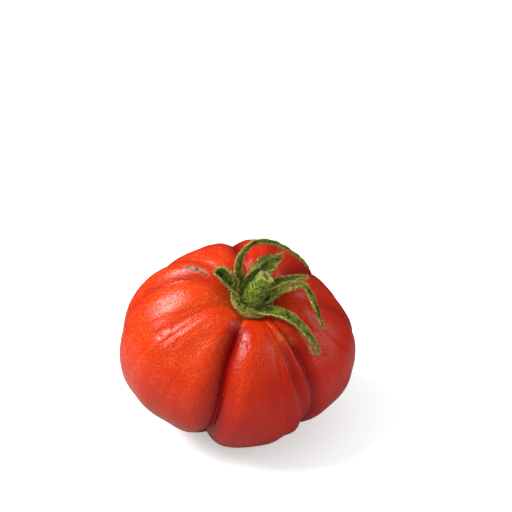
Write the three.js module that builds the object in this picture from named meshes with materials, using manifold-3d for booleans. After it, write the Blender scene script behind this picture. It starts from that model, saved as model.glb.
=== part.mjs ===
// A ribbed beefsteak tomato as picked: the fruit, its green calyx and the stub of its stem.
// Millimetres, +Z up. The origin is the middle of the small flat spot that the fruit rests on.
import * as THREE from 'three';
import { mergeVertices } from 'three/addons/utils/BufferGeometryUtils.js';
import Module from 'manifold-3d';

const wasm = await Module();
wasm.setup();

// Driving dimensions of the fruit. Azimuths are in degrees, anticlockwise from +X seen from above.
const halfWidth = 45.2;                                  // of the round form under the ribs
const halfHeight = 34.9;
const boxiness = 0.93;                                   // 1 is an ellipse, less is fuller at the shoulders
const cavity = { deep: 9.9, wide: 11 };                  // hollow that holds the calyx
const blossomScar = { deep: 2.5, wide: 8 };              // dimple underneath
const oval = { at: 28, by: 0.082 };                      // longer this way, shorter across it
const fat = { at: -10, by: 0.064 };                      // stands out further on this side
const tall = { at: 124, by: 0.097 };                     // higher on this side
const lean = { at: -60, base: 6, top: 24 };              // the stem end leans more than the base
const seat = new THREE.Vector3(-1, -4.5, -32.6);         // middle of the flat spot, from the fruit's middle
const creaseWidth = 2.6;                                 // how fast a crease opens out
const fruitRows = 38;

// Furrows from the cavity to the blossom scar. crease is the depth of the sharp line, valley that of the soft
// dip round it, wide its half width, drift how far the furrow turns towards the ends, bow how far it turns in
// between, low how much deeper it is near the base, and swell how far the lobe that follows it stands out.
const furrows = [
  { at: -113, crease: 3.2, valley: 2.6, wide: 10, drift: -5, bow: 12, low: 0, swell: -0.2 },
  { at: -60, crease: 0.2, valley: 0.9, wide: 6, drift: 5, bow: 0, low: 0.3, swell: 1.7 },
  { at: -53, crease: 0.9, valley: 1.2, wide: 5, drift: 4, bow: 0, low: 0.2, swell: 0.6 },
  { at: -46, crease: 1.5, valley: 1.1, wide: 6, drift: -3, bow: 0, low: 1.6, swell: -3.2 },
  { at: -10, crease: 0.2, valley: 0.9, wide: 8, drift: 0, bow: 0, low: 0, swell: -1.7 },
  { at: 7, crease: 0.8, valley: 1, wide: 8, drift: -7, bow: 0, low: 0, swell: -5.9 },
  { at: 46, crease: 1.5, valley: 1.5, wide: 11, drift: -3, bow: 0, low: 0, swell: -1.2 },
  { at: 73, crease: 0.6, valley: 0.8, wide: 9, drift: 2, bow: 0, low: 0, swell: -0.7 },
  { at: 97, crease: 1.8, valley: 1.4, wide: 10, drift: -8, bow: 0, low: 0, swell: -1.1 },
  { at: 152, crease: 0.5, valley: 0.9, wide: 8, drift: 7, bow: 0, low: 0, swell: 1 },
  { at: 179, crease: 2, valley: 1, wide: 8, drift: 15, bow: 2, low: 0, swell: -0.2 },
  { at: 206, crease: 0.1, valley: 0.9, wide: 9, drift: 0, bow: 0, low: 0, swell: -4 },
];

// Driving dimensions of the calyx, in its own frame: out from the stem's axis, turn round it, up along it.
const skinGap = 0.6;                                     // between the calyx and the skin under it
const collar = { radius: 7.4, thick: 1.4, rimThick: 2.1, seatUp: 2.8, sideTurns: 36, rings: 5 };
const bladeThick = 0.9;

// Each sepal is a list of stations [out, turn, up, width] along its middle line.
const sepals = {
  leftFolded: [
    [2.6, 154, 2.15, 7], [6.5, 163, 5.8, 6.5], [10, 168, 8.4, 5], [13.6, 165, 10.4, 4], [15.6, 162.5, 11.4, 4],
    [15.8, 160, 12.7, 4.4], [14.2, 157.5, 13.7, 5], [11.2, 157, 13.2, 5], [8.4, 156, 11.4, 4], [6.8, 159, 9.4, 2.2],
  ],
  backLeftArch: [
    [2.6, 133, 2.15, 6], [7.3, 135, 6.8, 5.4], [10.2, 134, 10.2, 4.8], [13, 124, 12.4, 3.8], [16.1, 109, 13.2, 2.6],
    [18.9, 97, 13.6, 2.2], [20.7, 86, 13.6, 2], [22.1, 73, 13, 1.9], [23.2, 60, 11.6, 1.7], [24.7, 50, 9.8, 1.5],
    [26.7, 39, 7, 1],
  ],
  backCurled: [
    [2.6, 98, 2.15, 6], [6.4, 95, 6.2, 7.8], [9, 89, 9.9, 8.8], [11.4, 81, 12.2, 8.6], [13.7, 71, 13.2, 6.6],
    [16, 64, 13.4, 3.6], [19.2, 60, 13.2, 1],
  ],
  rightBackWedge: [
    [2.6, 53, 2.15, 6], [7.4, 40, 5.7, 5.4], [11, 36, 8, 4.8], [14.6, 32, 9.2, 3.6], [18.5, 30, 9.4, 2.4],
    [22.6, 28, 8.8, 1.8],
  ],
  rightArch: [
    [2.6, 13, 2.15, 6], [6, 11, 5, 5.8], [8.9, 12, 8, 5.6], [12.1, 13, 10.7, 5], [15.1, 14, 11.8, 3.8],
    [17.6, 14, 11.9, 3], [19.8, 7, 10.6, 2.8], [21.9, -2, 9.2, 2.6], [24.5, -8, 6.4, 2.2], [27, -13, 3.9, 1.6],
    [28.6, -14, 3, 1],
  ],
  frontRightLow: [
    [2.6, -66, 2.15, 6.5], [6.3, -49, 4.4, 6.2], [9.7, -36, 6.1, 5.6], [13.7, -32, 7.4, 5.2], [17.9, -30, 7.4, 4.6],
    [22.2, -30, 6.1, 3.8], [26.1, -31, 4.1, 3], [29.3, -31, 2.3, 2.3], [31, -33, 1.6, 1.5], [30.8, -36.5, 2.2, 1],
    [29.2, -38.5, 3.3, 1], [27.8, -37.5, 4.3, 0.9],
  ],
};
const bladeSteps = 2;                                    // sections for each station
const bladeCup = 0.16;                                   // depth of a blade's channel, share of its width

// Driving dimensions of the stem, in the calyx's frame. Its knuckle is the thick part above the collar.
const stem = {
  footUp: 3.1, footRadius: 2.4, knuckleRadius: 3.9, endRadius: 2.9, length: 13.6, tipOut: 3.6, tipTurn: 36,
  pithRadius: 1.5, pithDeep: 0.8, sides: 16, rings: 9,
};

const radians = THREE.MathUtils.degToRad;
const smooth = (from, to, x) => {
  const t = THREE.MathUtils.clamp((x - from) / (to - from), 0, 1);
  return t * t * (3 - 2 * t);
};
const spread = (degrees, at) => THREE.MathUtils.euclideanModulo(degrees - at + 180, 360) - 180;
const bell = (x) => Math.exp(-x * x);

// The fruit's leaned frame, and the calyx's frame at the bottom of the cavity.
const leanAxis = new THREE.Vector3(-Math.sin(radians(lean.at)), Math.cos(radians(lean.at)), 0);
const leanBy = (vector, degrees) => vector.applyAxisAngle(leanAxis, radians(degrees));

// How far the skin lies inside the round form, at down degrees from the stem end and turn degrees round it.
function furrowDepth(down, turn, radius) {
  const along = Math.cos(radians(down));
  const around = Math.sin(radians(down)) ** 2;
  let depth = 0;
  furrows.forEach((furrow, i) => {
    const next = furrows[(i + 1) % furrows.length];
    const gap = THREE.MathUtils.euclideanModulo(next.at - furrow.at, 360);
    const off = spread(turn + furrow.drift * along - furrow.bow * around, furrow.at);
    const arc = Math.abs(radians(off)) * Math.max(radius, 12);
    const deeper = 1 + furrow.low * smooth(75, 125, down);
    depth += deeper * (furrow.valley * bell(off / furrow.wide) + furrow.crease * Math.exp(-arc / creaseWidth));
    const lobeTurn = turn + (furrow.drift + next.drift) / 2 * along - (furrow.bow + next.bow) / 2 * around;
    const lobeOff = spread(lobeTurn, furrow.at + gap / 2);
    depth -= furrow.swell * bell(lobeOff / (0.55 * gap)) * smooth(8, 36, radius);
  });
  return depth * smooth(2, 24, radius) * (1 - 0.75 * smooth(126, 166, down));
}

// A point of the skin, in the part's frame.
function skinPoint(down, turn) {
  const s = Math.sin(radians(down));
  const c = Math.cos(radians(down));
  const radius = halfWidth * Math.abs(s) ** boxiness;
  let height = halfHeight * Math.sign(c) * Math.abs(c) ** boxiness;
  if (c > 0) height -= cavity.deep * bell(radius / cavity.wide);
  else height += blossomScar.deep * bell(radius / blossomScar.wide);
  const outward = new THREE.Vector2(s / halfWidth, c / halfHeight).normalize();
  const depth = furrowDepth(down, turn, radius);
  let r = radius - outward.x * depth;
  let z = height - outward.y * depth;
  r *= 1 + s * (fat.by * Math.cos(radians(turn - fat.at)) + oval.by * Math.cos(radians(2 * (turn - oval.at))));
  z *= 1 + s * tall.by * Math.cos(radians(turn - tall.at));
  const point = new THREE.Vector3(r * Math.cos(radians(turn)), r * Math.sin(radians(turn)), z);
  leanBy(point, lean.base + (lean.top - lean.base) * smooth(-halfHeight, halfHeight, z));
  point.sub(seat);
  point.z = Math.max(point.z, 0);
  return point;
}

const stemAxis = leanBy(new THREE.Vector3(0, 0, 1), lean.top);
const calyxOrigin = skinPoint(0, 0);
const calyxFrame = new THREE.Matrix4()
  .makeBasis(leanBy(new THREE.Vector3(1, 0, 0), lean.top), leanBy(new THREE.Vector3(0, 1, 0), lean.top), stemAxis)
  .setPosition(calyxOrigin);
const calyxPoint = (out, turn, up) =>
  new THREE.Vector3(out * Math.cos(radians(turn)), out * Math.sin(radians(turn)), up).applyMatrix4(calyxFrame);

// A closed skin over rings of points. Each ring goes anticlockwise seen from the last ring's side, and the
// first and last rings close on a point each.
function ringSolid(first, rings, last) {
  const points = [first, ...rings.flat(), last];
  const count = rings[0].length;
  const index = [];
  for (let i = 0; i < count; i++) {
    const j = (i + 1) % count;
    index.push(0, 1 + j, 1 + i);
    for (let k = 0; k < rings.length - 1; k++) {
      const a = 1 + k * count;
      const b = a + count;
      index.push(a + i, a + j, b + j, a + i, b + j, b + i);
    }
    const a = 1 + (rings.length - 1) * count;
    index.push(a + i, a + j, points.length - 1);
  }
  const geometry = new THREE.BufferGeometry().setFromPoints(points);
  geometry.setIndex(index);
  return geometry;
}

// Azimuths of the fruit's columns: they follow the furrows, and stand closer together beside each crease.
function columnTurns() {
  const columns = [];
  furrows.forEach((furrow, i) => {
    const next = furrows[(i + 1) % furrows.length];
    const gap = THREE.MathUtils.euclideanModulo(next.at - furrow.at, 360);
    const count = Math.max(2, Math.round(gap / 4.4));
    for (let k = 0; k < count; k++) {
      const share = k / count;
      const eased = share - 0.35 * Math.sin(2 * Math.PI * share) / (2 * Math.PI);
      const drift = THREE.MathUtils.lerp(furrow.drift, next.drift, eased);
      const bow = THREE.MathUtils.lerp(furrow.bow, next.bow, eased);
      columns.push((down) => furrow.at + gap * eased
        - drift * Math.cos(radians(down)) + bow * Math.sin(radians(down)) ** 2);
    }
  });
  return columns;
}

// The rows stand closer together in the cavity, where the collar lies on the skin.
function fruitGeometry() {
  const columns = columnTurns();
  const rings = [];
  for (let row = 1; row < fruitRows; row++) {
    const down = 180 * (row / fruitRows) ** 1.25;
    rings.unshift(columns.map((turnAt) => skinPoint(down, turnAt(down))));
  }
  return ringSolid(skinPoint(180, 0), rings, skinPoint(0, 0));
}

// Solids and joins
function toSolid(geometry) {
  const merged = mergeVertices(geometry, 1e-4);
  return new wasm.Manifold(new wasm.Mesh({
    numProp: 3,
    vertProperties: new Float32Array(merged.attributes.position.array),
    triVerts: new Uint32Array(merged.index.array),
  }));
}

function toGeometry(solid) {
  const mesh = solid.getMesh();
  const geometry = new THREE.BufferGeometry();
  geometry.setAttribute('position', new THREE.BufferAttribute(mesh.vertProperties, 3));
  geometry.setIndex(new THREE.BufferAttribute(mesh.triVerts, 1));
  return geometry;
}

// The collar lies in the cavity like a saucer: its underside follows the skin, and its middle is a flat seat.
function collarGeometry() {
  const turns = Array.from({ length: collar.sideTurns }, (_, i) => 360 * i / collar.sideTurns);
  const rimDown = THREE.MathUtils.radToDeg(Math.asin((collar.radius / halfWidth) ** (1 / boxiness)));
  const lifted = (point, by) => point.clone().addScaledVector(stemAxis, by);
  const upOf = (point) => point.clone().sub(calyxOrigin).dot(stemAxis);
  const top = (point, share) => {
    const thick = THREE.MathUtils.lerp(collar.thick, collar.rimThick, smooth(0.6, 1, share));
    return lifted(point, Math.max(skinGap + thick, collar.seatUp - upOf(point)));
  };
  const under = [];
  const over = [];
  for (let ring = 1; ring <= collar.rings; ring++) {
    const share = ring / collar.rings;
    const skin = turns.map((turn) => skinPoint(rimDown * share, turn));
    under.push(skin.map((point) => lifted(point, skinGap)));
    over.unshift(skin.map((point) => top(point, share)));
  }
  return ringSolid(lifted(calyxOrigin, skinGap), [...under, ...over], top(calyxOrigin, 0));
}

// A sepal is a channelled blade swept along its stations. Its side direction is carried along without twist.
function sepalGeometry(stations) {
  const path = new THREE.CatmullRomCurve3(stations.map(([out, turn, up]) => calyxPoint(out, turn, up)), false, 'centripetal');
  const steps = (stations.length - 1) * bladeSteps;
  const side = new THREE.Vector3().crossVectors(stemAxis, path.getTangent(0)).normalize();
  const rings = [];
  for (let step = 0; step <= steps; step++) {
    const t = step / steps;
    const middle = path.getPoint(t);
    const along = path.getTangent(t);
    side.addScaledVector(along, -side.dot(along)).normalize();
    const face = new THREE.Vector3().crossVectors(along, side);
    const place = Math.min(step / bladeSteps, stations.length - 1.001);
    const width = THREE.MathUtils.lerp(stations[Math.floor(place)][3], stations[Math.floor(place) + 1][3], place % 1);
    const cup = bladeCup * width * smooth(0, 2, place);
    const at = (across, through) => middle.clone()
      .addScaledVector(side, across * width / 2)
      .addScaledVector(face, cup * across * across + through * bladeThick / 2);
    rings.push([at(-1, -0.7), at(0, -1), at(1, -0.7), at(1, 0.7), at(0, 1), at(-1, 0.7)]);
  }
  const centre = (ring) => ring.reduce((sum, point) => sum.add(point), new THREE.Vector3()).divideScalar(ring.length);
  return ringSolid(centre(rings[0]), rings, centre(rings[rings.length - 1]));
}

function calyxGeometry() {
  const blades = Object.values(sepals).map((stations) => toSolid(sepalGeometry(stations)));
  return toGeometry(blades.reduce((joined, blade) => joined.add(blade), toSolid(collarGeometry())));
}

// The stem stands on the collar's seat, swells at its knuckle, and its cut end has a shallow pith hollow.
function stemGeometry() {
  const foot = calyxPoint(0, 0, stem.footUp);
  const tip = calyxPoint(stem.tipOut, stem.tipTurn, stem.footUp + stem.length);
  const path = new THREE.QuadraticBezierCurve3(foot, calyxPoint(0, 0, stem.footUp + stem.length / 2), tip);
  const radiusAt = (t) => t < 0.2
    ? THREE.MathUtils.lerp(stem.footRadius, stem.knuckleRadius, Math.sin(t / 0.2 * Math.PI / 2))
    : THREE.MathUtils.lerp(stem.knuckleRadius, stem.endRadius, smooth(0.2, 0.8, t));
  const side = new THREE.Vector3(1, 0, 0);
  const ringAt = (t, radius, sink) => {
    const along = path.getTangent(t);
    side.addScaledVector(along, -side.dot(along)).normalize();
    const across = new THREE.Vector3().crossVectors(along, side);
    const middle = path.getPoint(t).addScaledVector(along, -sink);
    return Array.from({ length: stem.sides }, (_, i) => {
      const turn = 2 * Math.PI * i / stem.sides;
      return middle.clone()
        .addScaledVector(side, radius * Math.cos(turn))
        .addScaledVector(across, radius * Math.sin(turn));
    });
  };
  const rings = [];
  for (let ring = 0; ring <= stem.rings; ring++) {
    const t = ring / stem.rings;
    rings.push(ringAt(t, radiusAt(t), 0));
  }
  rings.push(ringAt(1, stem.pithRadius + 0.3, 0));
  rings.push(ringAt(1, stem.pithRadius, stem.pithDeep));
  return ringSolid(foot, rings, tip.clone().addScaledVector(path.getTangent(1), -stem.pithDeep));
}

const skinRed = new THREE.MeshStandardMaterial({ color: 0xc8301a, roughness: 0.28, metalness: 0 });
const sepalGreen = new THREE.MeshStandardMaterial({ color: 0x4f6b2c, roughness: 0.75, metalness: 0 });
const stemGreen = new THREE.MeshStandardMaterial({ color: 0x5f8a2a, roughness: 0.7, metalness: 0 });

function named(name, geometry, material) {
  const mesh = new THREE.Mesh(geometry, material);
  mesh.name = name;
  return mesh;
}

const tomato = new THREE.Group();
tomato.add(named('fruit', fruitGeometry(), skinRed));
tomato.add(named('calyx', calyxGeometry(), sepalGreen));
tomato.add(named('stem', stemGeometry(), stemGreen));

export default tomato;
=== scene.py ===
import math
import random

import bmesh
import bpy
import numpy as np
from mathutils import Matrix, Vector, noise


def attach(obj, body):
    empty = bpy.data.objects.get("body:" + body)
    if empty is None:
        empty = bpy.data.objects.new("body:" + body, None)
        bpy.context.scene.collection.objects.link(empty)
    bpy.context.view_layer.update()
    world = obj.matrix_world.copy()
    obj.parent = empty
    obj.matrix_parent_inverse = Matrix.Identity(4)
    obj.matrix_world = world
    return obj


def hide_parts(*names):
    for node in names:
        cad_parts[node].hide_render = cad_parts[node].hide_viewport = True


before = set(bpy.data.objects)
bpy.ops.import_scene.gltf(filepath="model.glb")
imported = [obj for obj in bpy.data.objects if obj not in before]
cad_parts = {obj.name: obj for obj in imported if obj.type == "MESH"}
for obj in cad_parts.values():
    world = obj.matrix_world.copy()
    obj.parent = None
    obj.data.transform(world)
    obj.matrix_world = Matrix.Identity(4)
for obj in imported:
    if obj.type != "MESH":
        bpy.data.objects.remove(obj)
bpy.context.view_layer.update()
mm = 0.001


# the camera comes first: a long lens, looking down on the tomato's front

cameraSettings = {
    "lens": 120, "sensor": 36,
    "place": (8.4, -528.9, 405.6),                 # mm
    "tilt": 58,                                    # degrees up from straight down
}


def buildCamera():
    data = bpy.data.cameras.new("studioCamera")
    data.lens = cameraSettings["lens"]
    data.sensor_width = cameraSettings["sensor"]
    data.clip_end = 20
    camera = bpy.data.objects.new("studioCamera", data)
    camera.location = Vector(cameraSettings["place"]) * mm
    camera.rotation_euler = (math.radians(cameraSettings["tilt"]), 0, 0)
    bpy.context.scene.collection.objects.link(camera)
    bpy.context.scene.camera = camera


buildCamera()
print("camera ready")


# the fruit's form, the same as its solid's: all in mm and degrees

fruitForm = {
    "halfWidth": 45.2, "halfHeight": 34.9, "boxiness": 0.93,
    "cavityDeep": 9.9, "cavityWide": 11,           # hollow that holds the calyx
    "scarDeep": 2.5, "scarWide": 8,                # dimple underneath
    "ovalAt": 28, "ovalBy": 0.082,
    "fatAt": -10, "fatBy": 0.064,
    "tallAt": 124, "tallBy": 0.097,
    "leanAt": -60, "leanBase": 6, "leanTop": 24,
    "seat": (-1, -4.5, -32.6),
    "creaseWidth": 2.6,
}
furrows = [
    {"at": -113, "crease": 3.2, "valley": 2.6, "wide": 10, "drift": -5, "bow": 12, "low": 0, "swell": -0.2},
    {"at": -60, "crease": 0.2, "valley": 0.9, "wide": 6, "drift": 5, "bow": 0, "low": 0.3, "swell": 1.7},
    {"at": -53, "crease": 0.9, "valley": 1.2, "wide": 5, "drift": 4, "bow": 0, "low": 0.2, "swell": 0.6},
    {"at": -46, "crease": 1.5, "valley": 1.1, "wide": 6, "drift": -3, "bow": 0, "low": 1.6, "swell": -3.2},
    {"at": -10, "crease": 0.2, "valley": 0.9, "wide": 8, "drift": 0, "bow": 0, "low": 0, "swell": -1.7},
    {"at": 7, "crease": 0.8, "valley": 1, "wide": 8, "drift": -7, "bow": 0, "low": 0, "swell": -5.9},
    {"at": 46, "crease": 1.5, "valley": 1.5, "wide": 11, "drift": -3, "bow": 0, "low": 0, "swell": -1.2},
    {"at": 73, "crease": 0.6, "valley": 0.8, "wide": 9, "drift": 2, "bow": 0, "low": 0, "swell": -0.7},
    {"at": 97, "crease": 1.8, "valley": 1.4, "wide": 10, "drift": -8, "bow": 0, "low": 0, "swell": -1.1},
    {"at": 152, "crease": 0.5, "valley": 0.9, "wide": 8, "drift": 7, "bow": 0, "low": 0, "swell": 1},
    {"at": 179, "crease": 2, "valley": 1, "wide": 8, "drift": 15, "bow": 2, "low": 0, "swell": -0.2},
    {"at": 206, "crease": 0.1, "valley": 0.9, "wide": 9, "drift": 0, "bow": 0, "low": 0, "swell": -4},
]


def smooth(low, high, x):
    share = np.clip((x - low) / (high - low), 0, 1)
    return share * share * (3 - 2 * share)


def spread(turn, at):
    return (turn - at + 180) % 360 - 180           # signed degrees from one azimuth to another


def bell(x):
    return np.exp(-x * x)


def gapAfter(i):
    return (furrows[(i + 1) % len(furrows)]["at"] - furrows[i]["at"]) % 360


def furrowDepth(down, turn, radius):
    along = np.cos(np.radians(down))
    around = np.sin(np.radians(down)) ** 2
    depth = np.zeros_like(down)
    for i, furrow in enumerate(furrows):
        following = furrows[(i + 1) % len(furrows)]
        off = spread(turn + furrow["drift"] * along - furrow["bow"] * around, furrow["at"])
        arc = np.abs(np.radians(off)) * np.maximum(radius, 12)
        deeper = 1 + furrow["low"] * smooth(75, 125, down)
        crease = furrow["crease"] * np.exp(-arc / fruitForm["creaseWidth"])
        depth += deeper * (furrow["valley"] * bell(off / furrow["wide"]) + crease)
        drift = (furrow["drift"] + following["drift"]) / 2
        bow = (furrow["bow"] + following["bow"]) / 2
        lobeOff = spread(turn + drift * along - bow * around, furrow["at"] + gapAfter(i) / 2)
        depth -= furrow["swell"] * bell(lobeOff / (0.55 * gapAfter(i))) * smooth(8, 36, radius)
    return depth * smooth(2, 24, radius) * (1 - 0.75 * smooth(126, 166, down))


def leanMatrix(degrees):
    at = math.radians(fruitForm["leanAt"])
    return Matrix.Rotation(math.radians(degrees), 3, Vector((-math.sin(at), math.cos(at), 0)))


# points of the skin, in mm, at down degrees from the stem end and turn degrees round it; relief stands out
def skinPoints(down, turn, relief=0):
    form = fruitForm
    s, c = np.sin(np.radians(down)), np.cos(np.radians(down))
    radius = form["halfWidth"] * np.abs(s) ** form["boxiness"]
    height = form["halfHeight"] * np.sign(c) * np.abs(c) ** form["boxiness"]
    height -= np.where(c > 0, form["cavityDeep"] * bell(radius / form["cavityWide"]), 0)
    height += np.where(c > 0, 0, form["scarDeep"] * bell(radius / form["scarWide"]))
    outward = np.stack([s / form["halfWidth"], c / form["halfHeight"]])
    outward /= np.linalg.norm(outward, axis=0)
    depth = furrowDepth(down, turn, radius) - relief
    r = radius - outward[0] * depth
    z = height - outward[1] * depth
    fat = form["fatBy"] * np.cos(np.radians(turn - form["fatAt"]))
    oval = form["ovalBy"] * np.cos(np.radians(2 * (turn - form["ovalAt"])))
    r = r * (1 + s * (fat + oval))
    z = z * (1 + s * form["tallBy"] * np.cos(np.radians(turn - form["tallAt"])))
    points = np.stack([r * np.cos(np.radians(turn)), r * np.sin(np.radians(turn)), z], -1)
    leanAt = math.radians(form["leanAt"])
    axis = np.array([-math.sin(leanAt), math.cos(leanAt), 0])
    more = smooth(-form["halfHeight"], form["halfHeight"], z)
    lean = np.radians(form["leanBase"] + (form["leanTop"] - form["leanBase"]) * more)[..., None]
    dot = (points @ axis)[..., None]
    points = points * np.cos(lean) + np.cross(axis, points) * np.sin(lean) + axis * dot * (1 - np.cos(lean))
    points = points - np.array(form["seat"])
    points[..., 2] = np.maximum(points[..., 2], 0)
    return points


def skinPoint(down, turn):
    return skinPoints(np.array([float(down)]), np.array([float(turn)]))[0]


# the furrows' own azimuths: each column of the mesh keeps to its furrow or lobe from end to end
def columnTurns(turn, down):
    along = np.cos(np.radians(down))
    around = np.sin(np.radians(down)) ** 2
    turned = np.zeros_like(turn)
    for i, furrow in enumerate(furrows):
        following = furrows[(i + 1) % len(furrows)]
        off = (turn - furrow["at"] + 0.001) % 360
        mine = off < gapAfter(i)
        share = off / gapAfter(i)
        share = share - 0.35 * np.sin(2 * np.pi * share) / (2 * np.pi)
        drift = furrow["drift"] + (following["drift"] - furrow["drift"]) * share
        bow = furrow["bow"] + (following["bow"] - furrow["bow"]) * share
        place = furrow["at"] + gapAfter(i) * share - drift * along + bow * around
        turned = np.where(mine, place, turned)
    return turned


# small marks of the skin

skinMarks = {
    "lumps": [(19, 0.28), (7, 0.07)],              # size and height of its unevenness, mm
    "ripple": 0.17,                                # height of the fine ribs on the shoulders
    "ribbed": {"turn": -151, "wide": 12, "down": 43, "long": 17, "wave": 6.2, "high": 0.07},
    "sunnyTurn": -168,                             # the side that ripened orange
    "dimples": [                                   # down, turn, radius, depth
        (44, -143, 0.9, 0.3), (48, -142, 0.7, 0.2), (43, -152, 0.8, 0.25), (52, -152, 0.7, 0.25),
        (63, -70, 0.8, 0.2), (58, 30, 0.8, 0.25), (47, 62, 0.7, 0.25), (70, 120, 0.8, 0.25),
    ],
    "crescent": {"down": 27, "turn": -95, "radius": 1.5, "deep": 0.5},
    "cork": {"down": 32, "turn": 157, "long": 5.4, "wide": 1.25, "high": 0.12},
    "tan": [(24, -51, 3.2), (25, -42, 2.6), (29, -47, 2.4), (24, 60, 2.4), (26, 72, 2.0), (13.5, -102, 1.3)],
}


def roughness(points, size, octaves=2):
    return np.array([noise.fractal(Vector(point) / size, 1.0, 2.0, octaves) for point in points])


def skinMasks(down, turn, points):
    marks = skinMarks
    radius = fruitForm["halfWidth"] * np.sin(np.radians(down)) ** fruitForm["boxiness"]
    along = np.cos(np.radians(down))
    masks = {}

    # the furrow mask paints shade into the creases: a band along each furrow that the skin's colour darkens
    # to crimson
    furrow = np.zeros_like(down)
    for each in furrows:
        around = np.sin(np.radians(down)) ** 2
        off = spread(turn + each["drift"] * along - each["bow"] * around, each["at"])
        arc = np.abs(np.radians(off)) * np.maximum(radius, 12)
        nearest = 4 + 4 * max(0, 3.2 - each["crease"])         # shallow furrows start their painted shade further from the stem
        reach = smooth(nearest, nearest + 14, radius)
        furrow += min(1, 0.6 * each["crease"]) * bell(arc / (2.2 + 0.7 * each["crease"])) * reach
    masks["furrow"] = np.clip(furrow, 0, 1)

    cork = marks["cork"]
    longWay = (down - cork["down"]) * 0.62
    wideWay = np.radians(spread(turn, cork["turn"])) * radius
    edge = 0.35 * roughness(points, 1.1)
    masks["cork"] = smooth(1.25, 0.6, np.hypot(longWay / cork["long"], wideWay / cork["wide"]) + edge)

    tan = np.zeros_like(down)
    for placeDown, placeTurn, wide in marks["tan"]:
        off = np.linalg.norm(points - skinPoint(placeDown, placeTurn), axis=1)
        tan = np.maximum(tan, bell(off / wide))
    masks["tan"] = tan

    pitDepth = np.zeros_like(down)
    for placeDown, placeTurn, wide, deep in marks["dimples"]:
        off = np.linalg.norm(points - skinPoint(placeDown, placeTurn), axis=1)
        pitDepth += deep * bell(off / wide)
    crescent = marks["crescent"]
    away = points - skinPoint(crescent["down"], crescent["turn"])
    off = np.linalg.norm(away, axis=1)
    upper = smooth(-0.5, 0.6, away[:, 2])
    arc = bell((off - crescent["radius"]) / 0.42) * upper
    pitDepth += crescent["deep"] * arc
    masks["pit"] = arc

    masks["shoulder"] = smooth(95, 25, down)
    masks["sunny"] = smooth(105, 20, np.abs(spread(turn, marks["sunnyTurn"])))
    masks["blossom"] = smooth(176.5, 179, down)
    return masks, pitDepth


def skinRelief(down, turn, points, masks, pitDepth):
    relief = np.zeros_like(down)
    for size, high in skinMarks["lumps"]:
        relief += high * roughness(points, size, 1)
    rib = np.stack([np.cos(np.radians(turn)) * 9, np.sin(np.radians(turn)) * 9, down / 26], -1)
    shoulder = smooth(12, 24, down) * smooth(105, 60, down)
    relief += skinMarks["ripple"] * roughness(rib, 1.0, 2) * (0.3 + 0.7 * shoulder)
    ribbed = skinMarks["ribbed"]
    off = spread(turn, ribbed["turn"])
    place = bell(off / ribbed["wide"]) * bell((down - ribbed["down"]) / ribbed["long"])
    wander = 0.9 * roughness(points, 9, 1)
    relief += ribbed["high"] * place * np.cos(2 * np.pi * off / ribbed["wave"] + wander)
    relief += skinMarks["cork"]["high"] * masks["cork"] * (1 + roughness(points, 0.7))
    return relief - pitDepth


def newObject(name, bm, materials=()):
    mesh = bpy.data.meshes.new(name)
    bm.to_mesh(mesh)
    bm.free()
    piece = bpy.data.objects.new(name, mesh)
    for material in materials:
        mesh.materials.append(material)
    for polygon in mesh.polygons:
        polygon.use_smooth = True
    bpy.context.scene.collection.objects.link(piece)
    return piece


def keepNumbers(piece, name, values, kind="FLOAT"):
    layer = piece.data.attributes.new(name, kind, "POINT")
    field = "value" if kind == "FLOAT" else "vector"
    layer.data.foreach_set(field, np.asarray(values, dtype=np.float32).ravel())


def buildSkin(material):
    bm = bmesh.new()
    bmesh.ops.create_uvsphere(bm, u_segments=360, v_segments=220, radius=1)
    ball = np.array([v.co[:] for v in bm.verts])
    down = np.degrees(np.arccos(np.clip(ball[:, 2], -1, 1)))
    turn = columnTurns(np.degrees(np.arctan2(ball[:, 1], ball[:, 0])), down)
    plain = skinPoints(down, turn)
    masks, pitDepth = skinMasks(down, turn, plain)
    relief = skinRelief(down, turn, plain, masks, pitDepth)
    for vert, point in zip(bm.verts, skinPoints(down, turn, relief) * mm):
        vert.co = point
    bmesh.ops.recalc_face_normals(bm, faces=bm.faces)
    piece = newObject("fruit_skin", bm, [material])
    for name, values in masks.items():
        keepNumbers(piece, name, values)
    rib = np.stack([np.cos(np.radians(turn)), np.sin(np.radians(turn)), down / 180], -1)
    keepNumbers(piece, "rib", rib, "FLOAT_VECTOR")
    return piece


# shader helpers

def addNode(tree, kind, inputs=None, **settings):
    made = tree.nodes.new("ShaderNode" + kind)
    for name, value in settings.items():
        setattr(made, name, value)
    for name, value in (inputs or {}).items():
        if isinstance(value, bpy.types.NodeSocket):
            tree.links.new(value, made.inputs[name])
        else:
            made.inputs[name].default_value = value
    return made


def mixColour(tree, factor, first, second, blend="MIX"):
    made = tree.nodes.new("ShaderNodeMix")
    made.data_type = "RGBA"
    made.blend_type = blend
    for index, value in ((0, factor), (6, first), (7, second)):
        if isinstance(value, bpy.types.NodeSocket):
            tree.links.new(value, made.inputs[index])
        else:
            made.inputs[index].default_value = value if index == 0 else (*value, 1)
    return made.outputs[2]


def combine(tree, operation, first, second=0.0, clamp=False):
    made = tree.nodes.new("ShaderNodeMath")
    made.operation = operation
    made.use_clamp = clamp
    for index, value in ((0, first), (1, second)):
        if isinstance(value, bpy.types.NodeSocket):
            tree.links.new(value, made.inputs[index])
        else:
            made.inputs[index].default_value = value
    return made.outputs[0]


def ramp(tree, value, low, high, outLow=0.0, outHigh=1.0):
    made = addNode(tree, "MapRange", {"Value": value, "From Min": low, "From Max": high,
                                      "To Min": outLow, "To Max": outHigh}, interpolation_type="SMOOTHSTEP")
    return made.outputs["Result"]


def attribute(tree, name, output="Fac"):
    return addNode(tree, "Attribute", attribute_name=name).outputs[output]


def objectPoints(tree):
    return addNode(tree, "TexCoord").outputs["Object"]


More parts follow.
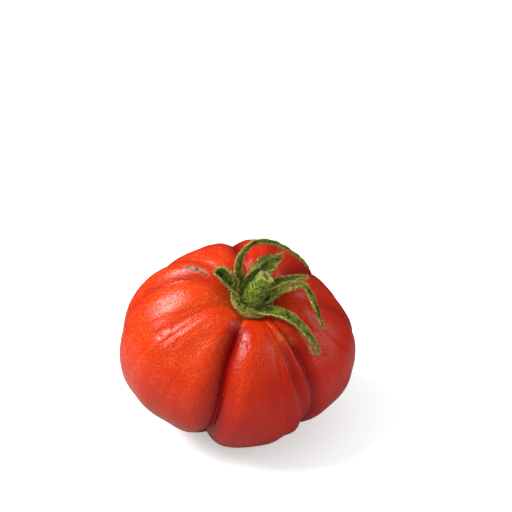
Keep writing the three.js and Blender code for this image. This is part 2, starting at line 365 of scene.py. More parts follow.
def newGroup(name, inputs, outputs):
    tree = bpy.data.node_groups.new(name, "ShaderNodeTree")
    for label, kind, value in inputs:
        socket = tree.interface.new_socket(label, in_out="INPUT", socket_type=kind)
        if value is not None:
            socket.default_value = value
    for label, kind in outputs:
        tree.interface.new_socket(label, in_out="OUTPUT", socket_type=kind)
    return tree, tree.nodes.new("NodeGroupInput").outputs, tree.nodes.new("NodeGroupOutput").inputs


# soft patches of a chosen size, as a mask
def buildMottle():
    tree, given, out = newGroup(
        "softMottle",
        [("Vector", "NodeSocketVector", None), ("Scale", "NodeSocketFloat", 100.0),
         ("Detail", "NodeSocketFloat", 3.0), ("From", "NodeSocketFloat", 0.4),
         ("To", "NodeSocketFloat", 0.6)],
        [("Mask", "NodeSocketFloat")])
    patches = addNode(tree, "TexNoise", {"Vector": given["Vector"], "Scale": given["Scale"],
                                         "Detail": given["Detail"], "Roughness": 0.55})
    tree.links.new(ramp(tree, patches.outputs["Fac"], given["From"], given["To"]), out["Mask"])
    return tree


# round dots scattered over a surface, as a mask
def buildDots():
    tree, given, out = newGroup(
        "scatteredDots",
        [("Vector", "NodeSocketVector", None), ("Scale", "NodeSocketFloat", 500.0),
         ("Size", "NodeSocketFloat", 0.25), ("Share", "NodeSocketFloat", 0.5)],
        [("Mask", "NodeSocketFloat")])
    cells = addNode(tree, "TexVoronoi", {"Vector": given["Vector"], "Scale": given["Scale"],
                                         "Randomness": 1.0})
    spot = ramp(tree, cells.outputs["Distance"], given["Size"], 0.0)
    chance = addNode(tree, "SeparateColor", {"Color": cells.outputs["Color"]}).outputs[0]
    keep = combine(tree, "LESS_THAN", chance, given["Share"])
    tree.links.new(combine(tree, "MULTIPLY", spot, keep), out["Mask"])
    return tree


mottleGroup = buildMottle()
dotsGroup = buildDots()


def useGroup(tree, group, **inputs):
    made = tree.nodes.new("ShaderNodeGroup")
    made.node_tree = group
    for name, value in inputs.items():
        if isinstance(value, bpy.types.NodeSocket):
            tree.links.new(value, made.inputs[name])
        else:
            made.inputs[name].default_value = value
    return made.outputs[0]


def mottle(tree, points, scale, low, high, detail=3.0):
    values = {"Vector": points, "Scale": scale, "Detail": detail, "From": low, "To": high}
    return useGroup(tree, mottleGroup, **values)


def dots(tree, points, scale, size, share):
    return useGroup(tree, dotsGroup, Vector=points, Scale=scale, Size=size, Share=share)


def newMaterial(name):
    material = bpy.data.materials.new(name)
    material.use_nodes = True
    tree = material.node_tree
    return material, tree, tree.nodes["Principled BSDF"].inputs


def bump(tree, height, distance, strength, before=None):
    inputs = {"Height": height, "Distance": distance, "Strength": strength}
    if before is not None:
        inputs["Normal"] = before
    return addNode(tree, "Bump", inputs).outputs["Normal"]


# ripe skin: orange over red on the shoulders, painted crimson shade in the furrows, gold flecks and fine
# pores

skinFinish = {
    "red": (0.60, 0.005, 0.0006), "orange": (0.77, 0.052, 0.003), "gold": (0.95, 0.30, 0.04),
    "crimson": (0.30, 0.0003, 0.0003), "pit": (0.14, 0.02, 0.012), "tan": (0.80, 0.17, 0.03),
    "cork": (0.13, 0.05, 0.03), "corkEdge": (0.50, 0.20, 0.12), "blossom": (0.16, 0.08, 0.03),
    "roughness": 0.27,
}


def skinMaterial():
    look = skinFinish
    material, tree, shader = newMaterial("ripeSkin")
    points = objectPoints(tree)
    rib = addNode(tree, "Attribute", attribute_name="rib").outputs["Vector"]
    streakPoints = addNode(tree, "VectorMath", {0: rib, 1: (22, 22, 4)}, operation="MULTIPLY").outputs[0]
    finePoints = addNode(tree, "VectorMath", {0: rib, 1: (60, 60, 9)}, operation="MULTIPLY").outputs[0]

    broad = mottle(tree, points, 42, 0.35, 0.65)
    shoulder = attribute(tree, "shoulder")
    sides = combine(tree, "ADD", combine(tree, "MULTIPLY", shoulder, 0.35),
                    combine(tree, "MULTIPLY", attribute(tree, "sunny"), 0.5))
    ripeness = combine(tree, "ADD", combine(tree, "MULTIPLY", broad, 0.25), sides, True)
    streaks = mottle(tree, streakPoints, 1.0, 0.3, 0.7, 4.0)
    ripeness = combine(tree, "MULTIPLY", ripeness, ramp(tree, streaks, 0, 1, 0.72, 1.0))
    colour = mixColour(tree, ripeness, look["red"], look["orange"])

    fine = mottle(tree, points, 620, 0.42, 0.72, 2.0)
    flecks = dots(tree, points, 1500, 0.6, 0.6)
    flecks = combine(tree, "MULTIPLY", flecks, mottle(tree, points, 160, 0.25, 0.6))
    flecks = combine(tree, "MULTIPLY", flecks, ramp(tree, ripeness, 0.1, 0.9, 0.0, 0.6))
    colour = mixColour(tree, flecks, colour, look["gold"])
    grain = combine(tree, "MULTIPLY", fine, 0.14)
    colour = mixColour(tree, grain, colour, look["crimson"])
    pits = dots(tree, points, 280, 0.14, 1.0)
    pits = combine(tree, "MULTIPLY", pits, ramp(tree, shoulder, 0, 0.5, 0.3, 1.0))
    colour = mixColour(tree, combine(tree, "MULTIPLY", pits, 0.75), colour, look["pit"])
    # painted shade: the furrows darken towards crimson, less on the sunny side
    lessOnSunny = ramp(tree, attribute(tree, "sunny"), 0.6, 1, 0.95, 0.3)
    shade = combine(tree, "MULTIPLY", attribute(tree, "furrow"), lessOnSunny)
    colour = mixColour(tree, shade, colour, look["crimson"])
    tanPatches = ramp(tree, mottle(tree, points, 300, 0.4, 0.6), 0, 1, 0.1, 0.45)
    tan = combine(tree, "MULTIPLY", attribute(tree, "tan"), tanPatches)
    colour = mixColour(tree, tan, colour, look["tan"])
    cork = attribute(tree, "cork")
    corkColour = mixColour(tree, mottle(tree, points, 900, 0.35, 0.65), look["cork"], look["corkEdge"])
    colour = mixColour(tree, ramp(tree, cork, 0.1, 0.6), colour, corkColour)
    colour = mixColour(tree, attribute(tree, "blossom"), colour, look["blossom"])
    darker = combine(tree, "MULTIPLY", attribute(tree, "pit"), 0.6)
    colour = mixColour(tree, darker, colour, look["crimson"])
    tree.links.new(colour, shader["Base Color"])

    rough = combine(tree, "ADD", ramp(tree, fine, 0, 1, look["roughness"] - 0.04, look["roughness"] + 0.06),
                    combine(tree, "MULTIPLY", cork, 0.35))
    tree.links.new(rough, shader["Roughness"])
    shader["IOR"].default_value = 1.42
    shader["Subsurface Weight"].default_value = 0.1
    shader["Subsurface Radius"].default_value = (1.0, 0.25, 0.1)
    shader["Subsurface Scale"].default_value = 0.003

    pores = dots(tree, points, 640, 0.22, 0.4)
    streakBump = bump(tree, mottle(tree, finePoints, 1.0, 0.2, 0.8, 3.0), 0.00012, 0.35)
    fineBump = bump(tree, mottle(tree, points, 1300, 0.2, 0.8, 2.0), 0.0001, 0.5, streakBump)
    poreBump = bump(tree, combine(tree, "SUBTRACT", 1.0, pores), 0.0002, 0.7, fineBump)
    pitBump = bump(tree, combine(tree, "SUBTRACT", 1.0, pits), 0.0004, 0.8, poreBump)
    tree.links.new(pitBump, shader["Normal"])
    return material


skin = buildSkin(skinMaterial())
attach(skin, "root")
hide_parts("fruit")
print("skin ready:", len(skin.data.polygons), "faces")


# the calyx's own frame: the stem's axis through the bottom of the cavity

def calyxFrame():
    turn = leanMatrix(fruitForm["leanTop"])
    return Matrix.Translation(Vector(skinPoint(0, 0))) @ turn.to_4x4()


calyxPlace = calyxFrame()
stemAxis = (calyxPlace.to_3x3() @ Vector((0, 0, 1))).normalized()


def calyxPoint(out, turn, up):
    return calyxPlace @ Vector((out * math.cos(math.radians(turn)), out * math.sin(math.radians(turn)), up))


# how high the skin stands along the stem's axis, out from it
def skinUnder(out, turn):
    down = math.degrees(math.asin((out / fruitForm["halfWidth"]) ** (1 / fruitForm["boxiness"])))
    point = Vector(skinPoint(down, turn))
    local = calyxPlace.inverted() @ point
    return local.z


# one smooth curve through a list of points, the centripetal kind that the solids use
def curvePoint(points, place):
    last = len(points) - 1
    i = min(int(place), last - 1)
    t = place - i
    b, c = points[i], points[i + 1]
    a = points[i - 1] if i > 0 else b * 2 - c
    d = points[i + 2] if i + 2 <= last else c * 2 - b
    first, middle, third = ((q - p).length ** 0.5 for p, q in ((a, b), (b, c), (c, d)))
    start = ((b - a) / first - (c - a) / (first + middle) + (c - b) / middle) * middle
    end = ((c - b) / middle - (d - b) / (middle + third) + (d - c) / third) * middle
    square = c * 3 - b * 3 - start * 2 - end
    cube = b * 2 - c * 2 + start + end
    return b + start * t + square * t ** 2 + cube * t ** 3


# each sepal is a list of stations out, turn, up and width; twist turns the blade on its middle line,
# roll cups it across, fold turns one edge over, and dry lists place, reach and amount
sepals = {
    "leftFolded": {
        "stations": [
            [2.6, 154, 2.15, 5], [6.5, 163, 5.8, 5.6], [10, 168, 8.4, 5], [13.6, 165, 10.4, 4],
            [15.6, 162.5, 11.4, 4], [15.8, 160, 12.7, 4.4], [14.2, 157.5, 13.7, 5], [11.2, 157, 13.2, 5],
            [8.4, 156, 11.4, 4], [6.8, 159, 9.4, 2.2],
        ],
        "twist": [0, 0, 0, 0, 0, -10, -28, -34, -30, -30],
        "dry": [(0.62, 0.1, 0.5), (0.95, 0.14, 1.0)], "roll": [50, 90, 120, 100, 80, 70, 70, 80, 70, 50],
    },
    "backLeftArch": {
        "stations": [
            [2.6, 133, 2.15, 6], [7.3, 135, 6.8, 5.4], [10.2, 134, 10.2, 4.8], [13, 124, 12.4, 3.8],
            [16.1, 109, 13.2, 2.6], [18.9, 97, 13.6, 2.2], [20.7, 86, 13.6, 2], [22.1, 73, 13, 1.9],
            [23.2, 60, 11.6, 1.7], [24.7, 50, 9.8, 1.5], [26.7, 39, 7, 1],
        ],
        "dry": [(0.25, 0.08, 0.6), (0.93, 0.1, 0.6)], "roll": [50, 80, 90, 90, 70, 70, 70, 70, 80, 90, 90],
    },
    "backCurled": {
        "stations": [
            [2.6, 98, 2.15, 6.5], [6.4, 95, 6.2, 8.5], [9, 89, 9.9, 11], [11.4, 81, 12.2, 12],
            [13.7, 71, 13.2, 9], [16, 64, 13.4, 4.4], [19.2, 60, 13.2, 1],
        ],
        "fold": [0, 0, 60, 150, 150, 90, 0],
        "dry": [(0.45, 0.1, 0.45), (0.9, 0.1, 0.5)], "roll": [50, 80, 100, 110, 110, 100, 60],
    },
    "rightBackWedge": {
        "stations": [
            [2.6, 53, 2.15, 6], [7.4, 40, 5.7, 5.4], [11, 36, 8, 4.8], [14.6, 32, 9.2, 3.6],
            [18.5, 30, 9.4, 2.4], [22.6, 28, 8.8, 1.8],
        ],
        "dry": [(0.97, 0.1, 0.6)], "roll": [50, 80, 100, 100, 80, 60],
    },
    "rightArch": {
        "stations": [
            [2.6, 13, 2.15, 6], [6, 11, 5, 5.8], [8.9, 12, 8, 5.6], [12.1, 13, 10.7, 5],
            [15.1, 14, 11.8, 3.8],
            [17.6, 14, 11.9, 3.2], [19.8, 7, 10.6, 3.2], [21.9, -2, 9.2, 3.1], [24.5, -8, 6.4, 2.5],
            [27, -13, 3.9, 1.6], [28.6, -14, 3, 1],
        ],
        "dry": [(0.38, 0.12, 0.7), (1.0, 0.06, 0.8)], "roll": [50, 80, 100, 100, 80, 60, 60, 60, 60, 60, 60],
    },
    "frontRightLow": {
        "stations": [
            [2.6, -66, 2.15, 6.5], [6.3, -49, 4.4, 6.2], [9.7, -36, 6.1, 5.6], [13.7, -32, 7.4, 5.2],
            [17.9, -30, 7.4, 4.6], [22.2, -30, 6.1, 3.8], [26.1, -31, 4.1, 3], [29.3, -31, 2.3, 2.3],
            [31, -33, 1.6, 1.5], [30.8, -36.5, 2.2, 1], [29.2, -38.5, 3.3, 1], [27.8, -37.5, 4.3, 0.9],
        ],
        "dry": [(0.0, 0.1, 0.4), (1.0, 0.12, 0.7)], "roll": [50, 70, 70, 60, 50, 50, 50, 60, 70, 70, 70, 70],
    },
    "driedShred": {                                # torn brown end of the folded sepal
        "stations": [[9, 158, 12, 1.2], [8, 163, 10, 1.3], [8.6, 171, 7.8, 1], [9.4, 177, 6.2, 0.5]],
        "dry": [(0.5, 1, 1)], "roll": [60, 60, 60, 60],
    },
    "driedThread": {
        "stations": [[8.4, 158, 11.4, 0.8], [6.6, 166, 8.8, 0.8], [6.4, 178, 6.6, 0.5]],
        "dry": [(0.5, 1, 1)], "roll": [60, 60, 60],
    },
}
bladeShape = {"across": 12, "perStation": 8, "thick": 0.6, "ragged": 0.3, "midrib": 0.3}


# where a blade's section has come to, share of the way from its middle to its edge
def sectionPoint(share, width, roll, fold):
    across, up = 0, 0
    pieces = 10
    for i in range(pieces):
        place = share * (i + 0.5) / pieces
        angle = place * roll / 2 + abs(fold) * float(smooth(0.35, 0.75, place * math.copysign(1, fold)))
        across += math.cos(angle) * share * width / 2 / pieces
        up += math.sin(angle) * share * width / 2 / pieces
    return across, up


# a sheet along the stations: edges cupped upwards, ragged and thin, with a rib under the middle
def addSepal(bm, layers, blade):
    stations = blade["stations"]
    middles = [calyxPoint(out, turn, up) for out, turn, up, width in stations]
    steps = (len(stations) - 1) * bladeShape["perStation"]
    grid = bmesh.ops.create_grid(bm, x_segments=bladeShape["across"], y_segments=steps, size=0.5)["verts"]
    frames = []
    side = None
    for step in range(steps + 1):
        place = step / bladeShape["perStation"]
        middle = curvePoint(middles, place)
        ahead = curvePoint(middles, min(place + 0.02, len(stations) - 1))
        behind = curvePoint(middles, max(place - 0.02, 0))
        along = (ahead - behind).normalized()
        side = stemAxis.cross(along) if side is None else side
        side = (side - along * side.dot(along)).normalized()
        i = min(int(place), len(stations) - 2)
        width = stations[i][3] + (stations[i + 1][3] - stations[i][3]) * (place - i)
        twists = blade.get("twist", [0] * len(stations))
        twist = twists[i] + (twists[i + 1] - twists[i]) * (place - i)
        roll = blade["roll"][i] + (blade["roll"][i + 1] - blade["roll"][i]) * (place - i)
        folds = blade.get("fold", [0] * len(stations))
        fold = folds[i] + (folds[i + 1] - folds[i]) * (place - i)
        turned = Matrix.Rotation(math.radians(twist), 3, along) @ side
        face = along.cross(turned)
        frames.append((middle, turned, face, width, math.radians(roll), math.radians(fold), place))
    for vert in grid:
        step = int((vert.co.y + 0.5) * steps + 0.5)
        share = vert.co.x * 2
        middle, sideways, face, width, roll, fold, place = frames[step]
        across, cup = sectionPoint(share, width, roll, fold)
        point = middle + sideways * across
        edge = abs(share) ** 3
        ragged = bladeShape["ragged"] * edge * noise.noise(point / 1.7)
        wave = 0.45 * edge * noise.noise(point / 2.6 + Vector((5, 0, 0)))
        wrinkle = 0.16 * noise.noise(point / 1.1) - bladeShape["midrib"] * (1 - abs(share)) ** 4
        cup += wave + wrinkle
        vert[layers["edge"]] = abs(share)
        vert[layers["thick"]] = min(bladeShape["thick"], 0.2 + 0.16 * width)
        vert[layers["blade"]] = (share * width / 2, place * 3.5, width + stations[2][1])
        run = place / (len(stations) - 1)
        dry = sum(amount * math.exp(-((run - at) / wide) ** 2) for at, wide, amount in blade["dry"])
        vert[layers["dry"]] = min(1, dry)
        vert.co = point + sideways * (ragged * math.copysign(1, share)) + face * cup
    return grid


# gives the sheets their thickness, held back where a tight fold would throw a spike
def thicken(bm, layers):
    key = bm.verts.layers.int.new("key")
    places = [vert.co.copy() for vert in bm.verts]
    for i, vert in enumerate(bm.verts):
        vert[key] = i
    bm.normal_update()
    bmesh.ops.solidify(bm, geom=bm.faces[:], thickness=bladeShape["thick"])
    for vert in bm.verts:
        away = vert.co - places[vert[key]]
        if away.length > vert[layers["thick"]]:
            vert.co = places[vert[key]] + away.normalized() * vert[layers["thick"]]
    bm.verts.layers.int.remove(key)


def buildCalyx(material):
    bm = bmesh.new()
    layers = {name: bm.verts.layers.float.new(name) for name in ("edge", "dry", "thick")}
    layers["blade"] = bm.verts.layers.float_vector.new("blade")
    for blade in sepals.values():
        addSepal(bm, layers, blade)
    thicken(bm, layers)
    addCollar(bm, layers)
    bmesh.ops.scale(bm, vec=(mm, mm, mm), verts=bm.verts)
    bmesh.ops.recalc_face_normals(bm, faces=bm.faces)
    return newObject("calyx_leaves", bm, [material])


# the collar is a low mound that follows the skin: profile out and height over the skin, spun round the stem
collarShape = {
    "profile": [(0, 2.6), (3, 2.9), (4.2, 2.9), (5.2, 2.7), (6, 2.4), (6.8, 2.2), (7.4, 1.9), (7.9, 1.4),
                (8, 0.9), (7.6, 0.5), (6, 0.5), (3, 0.5), (0, 0.5)],
    "steps": 120, "uneven": 0.5, "ridges": 0.5, "frontHigh": 0.45,
}


def addCollar(bm, layers):
    part = bmesh.new()
    names = {name: part.verts.layers.float.new(name) for name in ("edge", "dry")}
    names["blade"] = part.verts.layers.float_vector.new("blade")
    verts = [part.verts.new((out, 0, up)) for out, up in collarShape["profile"]]
    edges = [part.edges.new(pair) for pair in zip(verts, verts[1:])]
    bmesh.ops.subdivide_edges(part, edges=edges, cuts=2)
    bmesh.ops.spin(part, geom=part.verts[:] + part.edges[:], cent=(0, 0, 0), axis=(0, 0, 1),
                   angle=2 * math.pi, steps=collarShape["steps"], use_merge=True)
    bmesh.ops.remove_doubles(part, verts=part.verts, dist=0.001)
    for vert in part.verts:
        out = math.hypot(vert.co.x, vert.co.y)
        turn = math.degrees(math.atan2(vert.co.y, vert.co.x))
        lift = skinUnder(out, turn) if out > 0.01 else 0
        top = float(smooth(0.8, 2.2, vert.co.z))
        uneven = collarShape["uneven"] * top * noise.noise(Vector((vert.co.x, vert.co.y, 0)) / 1.6)
        ridges = smooth(3, 6, out) * noise.noise(Vector((turn / 9, out / 6, 0)))
        uneven += collarShape["ridges"] * top * ridges
        front = float(smooth(105, 55, abs(spread(turn, -145))))
        higher = 1 + collarShape["frontHigh"] * front * top * float(smooth(3, 5, out))
        place = calyxPoint(out, turn, vert.co.z * higher + lift + uneven)
        vert[names["edge"]] = smooth(6.4, 7.8, out)
        around = math.radians(turn)
        vert[names["blade"]] = (7 * math.cos(around), 0.6 * out, 7 * math.sin(around))
        vert[names["dry"]] = smooth(4.6, 7.4, out) * (0.15 + 0.55 * front)
        vert.co = place
    mesh = bpy.data.meshes.new("collarDraft")
    part.to_mesh(mesh)
    part.free()
    bm.from_mesh(mesh)
    bpy.data.meshes.remove(mesh)


sepalFinish = {
    "green": (0.20, 0.31, 0.009), "dark": (0.013, 0.032, 0.002), "pale": (0.68, 0.66, 0.13),
    "brown": (0.17, 0.06, 0.015), "straw": (0.60, 0.42, 0.09), "roughness": 0.62,
}


def sepalMaterial():
    look = sepalFinish
    material, tree, shader = newMaterial("sepalGreen")
    points = objectPoints(tree)
    blade = addNode(tree, "Attribute", attribute_name="blade").outputs["Vector"]
    stretched = addNode(tree, "VectorMath", {0: blade, 1: (1.6, 0.28, 1.6)}, operation="MULTIPLY")
    lengthwise = stretched.outputs[0]
    streaks = mottle(tree, lengthwise, 1.0, 0.4, 0.58, 5.0)
    patches = mottle(tree, points, 330, 0.42, 0.57, 6.0)
    shade = combine(tree, "ADD", combine(tree, "MULTIPLY", streaks, 0.4),
                    combine(tree, "MULTIPLY", patches, 0.7), True)
    colour = mixColour(tree, shade, look["dark"], look["green"])
    specks = mottle(tree, points, 900, 0.52, 0.62, 3.0)
    colour = mixColour(tree, combine(tree, "MULTIPLY", specks, 0.6), colour, look["dark"])
    rust = mottle(tree, points, 420, 0.58, 0.68, 2.0)
    colour = mixColour(tree, combine(tree, "MULTIPLY", rust, 0.45), colour, look["brown"])
    # pale edges: the blades' paler edge tone together with a painted glow of their backlit hairs
    edge = ramp(tree, attribute(tree, "edge"), 0.82, 1.0)
    paleEdgeAndGlow = combine(tree, "MULTIPLY", edge, ramp(tree, mottle(tree, points, 900, 0.4, 0.6), 0, 1, 0.1, 0.9))
    colour = mixColour(tree, paleEdgeAndGlow, colour, look["pale"])
    fuzz = mottle(tree, points, 1500, 0.48, 0.7, 2.0)
    colour = mixColour(tree, combine(tree, "MULTIPLY", fuzz, 0.34), colour, look["pale"])
    dryColour = mixColour(tree, mottle(tree, points, 800, 0.4, 0.6), look["brown"], look["straw"])
    dryPatches = ramp(tree, mottle(tree, points, 500, 0.35, 0.6), 0, 1, 0.35, 1.0)
    dry = combine(tree, "MULTIPLY", attribute(tree, "dry"), dryPatches)
    colour = mixColour(tree, dry, colour, dryColour)
    tree.links.new(colour, shader["Base Color"])
    rough = ramp(tree, fuzz, 0, 1, look["roughness"] - 0.1, look["roughness"] + 0.15)
    tree.links.new(rough, shader["Roughness"])
    shader["Specular IOR Level"].default_value = 0.3
    veins = bump(tree, streaks, 0.0004, 0.6)
    fineBump = bump(tree, mottle(tree, points, 900, 0.2, 0.8, 5.0), 0.0007, 0.9, veins)
    tree.links.new(fineBump, shader["Normal"])
    return material


leafGreen = sepalMaterial()
calyx = buildCalyx(leafGreen)
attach(calyx, "root")
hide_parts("calyx")
print("calyx ready:", len(calyx.data.polygons), "faces")


# the stem: a ring extruded along its curve, thick at the knuckle, its cut end hollowed at the pith

stemShape = {
    "footUp": 3.1, "footRadius": 2.4, "knuckleRadius": 3.9, "endRadius": 2.9, "length": 13.6,
    "tipOut": 3.6, "tipTurn": 36, "pithRadius": 1.5, "pithDeep": 1.6, "sides": 48, "steps": 44,
}


def stemRadius(t):
    foot, knuckle, end = (stemShape[name] for name in ("footRadius", "knuckleRadius", "endRadius"))
    if t < 0.2:
        return foot + (knuckle - foot) * math.sin(t / 0.2 * math.pi / 2)
    return knuckle + (end - knuckle) * float(smooth(0.2, 0.8, t))


def buildStem(material):
    shape = stemShape
    foot = calyxPoint(0, 0, shape["footUp"])
    half = calyxPoint(0, 0, shape["footUp"] + shape["length"] / 2)
    tip = calyxPoint(shape["tipOut"], shape["tipTurn"], shape["footUp"] + shape["length"])
    bm = bmesh.new()
    names = {name: bm.verts.layers.float.new(name) for name in ("along", "cut", "pith")}
    ring = bmesh.ops.create_circle(bm, cap_ends=True, segments=shape["sides"], radius=1)["verts"]
    side = Vector((1, 0, 0))

    def placeRing(verts, t, radius, sink, cut, pith):
        nonlocal side
        middle = foot * (1 - t) ** 2 + half * 2 * t * (1 - t) + tip * t * t
        along = ((half - foot) * (1 - t) + (tip - half) * t).normalized()
        side = (side - along * side.dot(along)).normalized()
        across = along.cross(side)
        for i, vert in enumerate(verts):
            turn = 2 * math.pi * i / len(verts)
            ridges = 1 + 0.035 * math.cos(5 * turn + 0.6) + 0.02 * math.cos(9 * turn + 4 * t)
            away = (side * math.cos(turn) + across * math.sin(turn)) * (radius * ridges)
            point = middle + away - along * sink
            bumps = 0.2 * noise.noise(point / 1.7) + 0.12 * noise.noise(point / 0.6)
            torn = 0.25 * noise.noise(away / 1.1) if cut else 0
            vert.co = point + away.normalized() * bumps + along * torn
            vert[names["along"]] = t
            vert[names["cut"]] = cut
            vert[names["pith"]] = pith

    placeRing(ring, 0, shape["footRadius"], 0, 0, 0)
    current = ring
    edges = list({edge for vert in ring for edge in vert.link_edges})

    def nextRing(edges):
        made = bmesh.ops.extrude_edge_only(bm, edges=edges)["geom"]
        verts = [item for item in made if isinstance(item, bmesh.types.BMVert)]
        return verts, [item for item in made if isinstance(item, bmesh.types.BMEdge)
                       and all(vert in verts for vert in item.verts)]

    def inOrder(verts, before):
        order = []
        for vert in before:
            beside = [edge.other_vert(vert) for edge in vert.link_edges]
            order.append(next(other for other in beside if other in verts))
        return order

    shares = [step / shape["steps"] for step in range(1, shape["steps"] + 1)]
    rings = [(t, stemRadius(t), 0, 0, 0) for t in shares]
    rings += [(1, 2.78, -0.12, 1, 0), (1, 2.55, -0.16, 1, 0), (1, 2.1, -0.05, 1, 0), (1, 1.75, 0.15, 1, 0.3),
              (1, shape["pithRadius"], 0.45, 1, 0.8), (1, 1.15, shape["pithDeep"] * 0.75, 1, 1),
              (1, 0.7, shape["pithDeep"], 1, 1), (1, 0.25, shape["pithDeep"] * 1.05, 1, 1)]
    for t, radius, sink, cut, pith in rings:
        verts, edges = nextRing(edges)
        current = inOrder(set(verts), current)
        placeRing(current, t, radius, sink, cut, pith)
    bmesh.ops.contextual_create(bm, geom=edges)
    bmesh.ops.scale(bm, vec=(mm, mm, mm), verts=bm.verts)
    bmesh.ops.recalc_face_normals(bm, faces=bm.faces)
    return newObject("stem_stub", bm, [material])


stemFinish = {
    "green": (0.175, 0.30, 0.006), "dark": (0.03, 0.065, 0.002), "pale": (0.56, 0.62, 0.08),
    "rim": (0.62, 0.58, 0.20), "pith": (0.50, 0.16, 0.025), "roughness": 0.6,
}


def stemMaterial():
    look = stemFinish
    material, tree, shader = newMaterial("stemGreen")
    points = objectPoints(tree)
    patches = mottle(tree, points, 700, 0.42, 0.58, 6.0)
    # painted shade: the stem turns darker towards its foot, where it stands in the collar's cup
    upper = ramp(tree, attribute(tree, "along"), 0.0, 0.3, 0.4, 1.0)
    colour = mixColour(tree, combine(tree, "MULTIPLY", patches, upper), look["dark"], look["green"])
    fuzz = mottle(tree, points, 1300, 0.5, 0.64, 3.0)
    colour = mixColour(tree, combine(tree, "MULTIPLY", fuzz, 0.5), colour, look["pale"])
    towardsEnd = ramp(tree, attribute(tree, "along"), 0.8, 1.0, 0.0, 0.2)
    colour = mixColour(tree, towardsEnd, colour, look["pale"])
    rimColour = mixColour(tree, mottle(tree, points, 900, 0.4, 0.7), look["rim"], look["green"])
    colour = mixColour(tree, attribute(tree, "cut"), colour, rimColour)
    colour = mixColour(tree, attribute(tree, "pith"), colour, look["pith"])
    tree.links.new(colour, shader["Base Color"])
    rough = ramp(tree, fuzz, 0, 1, look["roughness"] - 0.05, look["roughness"] + 0.2)
    tree.links.new(rough, shader["Roughness"])
    shader["Specular IOR Level"].default_value = 0.35
    tree.links.new(bump(tree, mottle(tree, points, 900, 0.2, 0.8, 5.0), 0.0005, 0.8), shader["Normal"])
    return material


stem = buildStem(stemMaterial())
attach(stem, "root")
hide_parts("stem")
print("stem ready:", len(stem.data.polygons), "faces")


# fine pale hairs: short closed spikes that stand on the green parts, densest along the blades' edges

hairShape = {"long": (0.4, 1.0), "radius": 0.045, "lean": 0.6, "calyx": 8000, "stem": 1600, "batch": 100}


def addHair(bm, point, away, long):
    turn = away.to_track_quat("Z", "Y").to_matrix().to_4x4()
    place = Matrix.Translation(point + away.normalized() * (long * 0.45)) @ turn
    bmesh.ops.create_cone(bm, cap_ends=True, cap_tris=True, segments=3, radius1=hairShape["radius"] * mm,
                          radius2=0.004 * mm, depth=long, matrix=place)


def buildHairs(name, source, count, material, seed):
    random.seed(seed)
    mesh = source.data
    mesh.calc_loop_triangles()
    edge = mesh.attributes.get("edge")
    weights = []
    for triangle in mesh.loop_triangles:
        edging = sum(edge.data[i].value for i in triangle.vertices) / 3 if edge else 0
        weights.append(triangle.area * (1 + 4 * max(0, edging - 0.7) / 0.3))
    chosen = random.choices(mesh.loop_triangles[:], weights, k=count)
    whole = bmesh.new()
    for first in range(0, count, hairShape["batch"]):
        bm = bmesh.new()
        for triangle in chosen[first:first + hairShape["batch"]]:
            a, b = sorted((random.random(), random.random()))
            corners = [mesh.vertices[i].co for i in triangle.vertices]
            point = corners[0] * a + corners[1] * (b - a) + corners[2] * (1 - b)
            away = Vector([random.gauss(0, 1) for axis in range(3)]) * hairShape["lean"] + triangle.normal
            addHair(bm, point, away, random.uniform(*hairShape["long"]) * mm)
        draft = bpy.data.meshes.new("hairDraft")
        bm.to_mesh(draft)
        bm.free()
        whole.from_mesh(draft)
        bpy.data.meshes.remove(draft)
    return newObject(name, whole, [material])


def hairMaterial():
    material, tree, shader = newMaterial("paleFuzz")
    points = objectPoints(tree)
    colour = mixColour(tree, mottle(tree, points, 600, 0.4, 0.6), (0.34, 0.38, 0.05), (0.72, 0.68, 0.24))
    tree.links.new(colour, shader["Base Color"])
    shader["Roughness"].default_value = 0.6
    return material


fuzz = hairMaterial()
calyxHairs = buildHairs("calyx_fuzz", calyx, hairShape["calyx"], fuzz, 4)
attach(calyxHairs, "root")
stemHairs = buildHairs("stem_fuzz", stem, hairShape["stem"], fuzz, 9)
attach(stemHairs, "root")
print("hairs ready:", len(calyxHairs.data.polygons) + len(stemHairs.data.polygons), "faces")


# floor and light: a white sweep, one large soft light on the left and a weaker one on the right

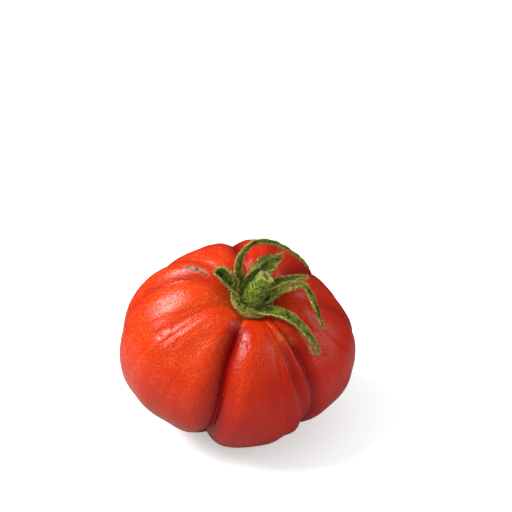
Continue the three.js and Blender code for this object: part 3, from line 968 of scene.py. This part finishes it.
def floorMaterial():
    material, tree, shader = newMaterial("whiteFloor")
    ray = addNode(tree, "LightPath").outputs
    seen = ramp(tree, ray["Is Camera Ray"], 0, 1, 0.42, 1.0)    # it looks white but lights the fruit less
    behind = addNode(tree, "SeparateXYZ", {"Vector": objectPoints(tree)}).outputs["Y"]
    mirrored = ramp(tree, behind, 0.0, 0.12, 0.9, 0.08)         # the skin mirrors less of it behind
    glossy = ray["Is Glossy Ray"]
    tone = mixColour(tree, glossy, (1, 1, 1), mirrored)
    tone = combine(tree, "MULTIPLY", seen, tone)
    tree.links.new(mixColour(tree, tone, (0, 0, 0), (0.92, 1, 1)), shader["Base Color"])
    shader["Roughness"].default_value = 0.9
    shader["Specular IOR Level"].default_value = 0.0
    tree.links.new(mixColour(tree, ray["Is Camera Ray"], (0, 0, 0), (1, 1, 1)), shader["Emission Color"])
    shader["Emission Strength"].default_value = 0.42            # keeps the shadow soft and pale
    return material


def buildFloor():
    bm = bmesh.new()
    bmesh.ops.create_grid(bm, x_segments=1, y_segments=1, size=4)
    bmesh.ops.translate(bm, vec=(0, 0, -0.0002), verts=bm.verts)
    floor = newObject("studio_floor", bm, [floorMaterial()])


lights = {
    "left": {"azimuth": 177, "elevation": 47, "away": 1.3, "size": (0.9, 0.52), "radiance": 14},
    "right": {"azimuth": 5, "elevation": 22, "away": 1.3, "size": (0.5, 0.6), "radiance": 2.4},
}


def buildLights():
    for name, light in lights.items():
        data = bpy.data.lights.new(name, "AREA")
        data.shape = "RECTANGLE"
        data.size, data.size_y = light["size"]
        data.energy = light["radiance"] * math.pi * data.size * data.size_y
        lamp = bpy.data.objects.new(name, data)
        azimuth, elevation = math.radians(light["azimuth"]), math.radians(light["elevation"])
        towards = Vector((math.cos(azimuth) * math.cos(elevation), math.sin(azimuth) * math.cos(elevation),
                          math.sin(elevation)))
        lamp.location = Vector((0, 0.005, 0.035)) + towards * light["away"]
        lamp.rotation_euler = towards.to_track_quat("Z", "Y").to_euler()
        bpy.context.scene.collection.objects.link(lamp)
    world = bpy.data.worlds.new("studioWhite")
    world.use_nodes = True
    tree = world.node_tree
    background = tree.nodes["Background"]
    background.inputs["Color"].default_value = (1, 1, 1, 1)
    ray = addNode(tree, "LightPath").outputs
    studio = ramp(tree, ray["Is Glossy Ray"], 0, 1, 0.63, 0.05)   # even fill, hardly mirrored
    tree.links.new(combine(tree, "MAXIMUM", studio, ray["Is Camera Ray"]), background.inputs["Strength"])
    bpy.context.scene.world = world
    bpy.context.scene.view_settings.view_transform = "Standard"


buildFloor()
buildLights()
print("floor and lights ready")
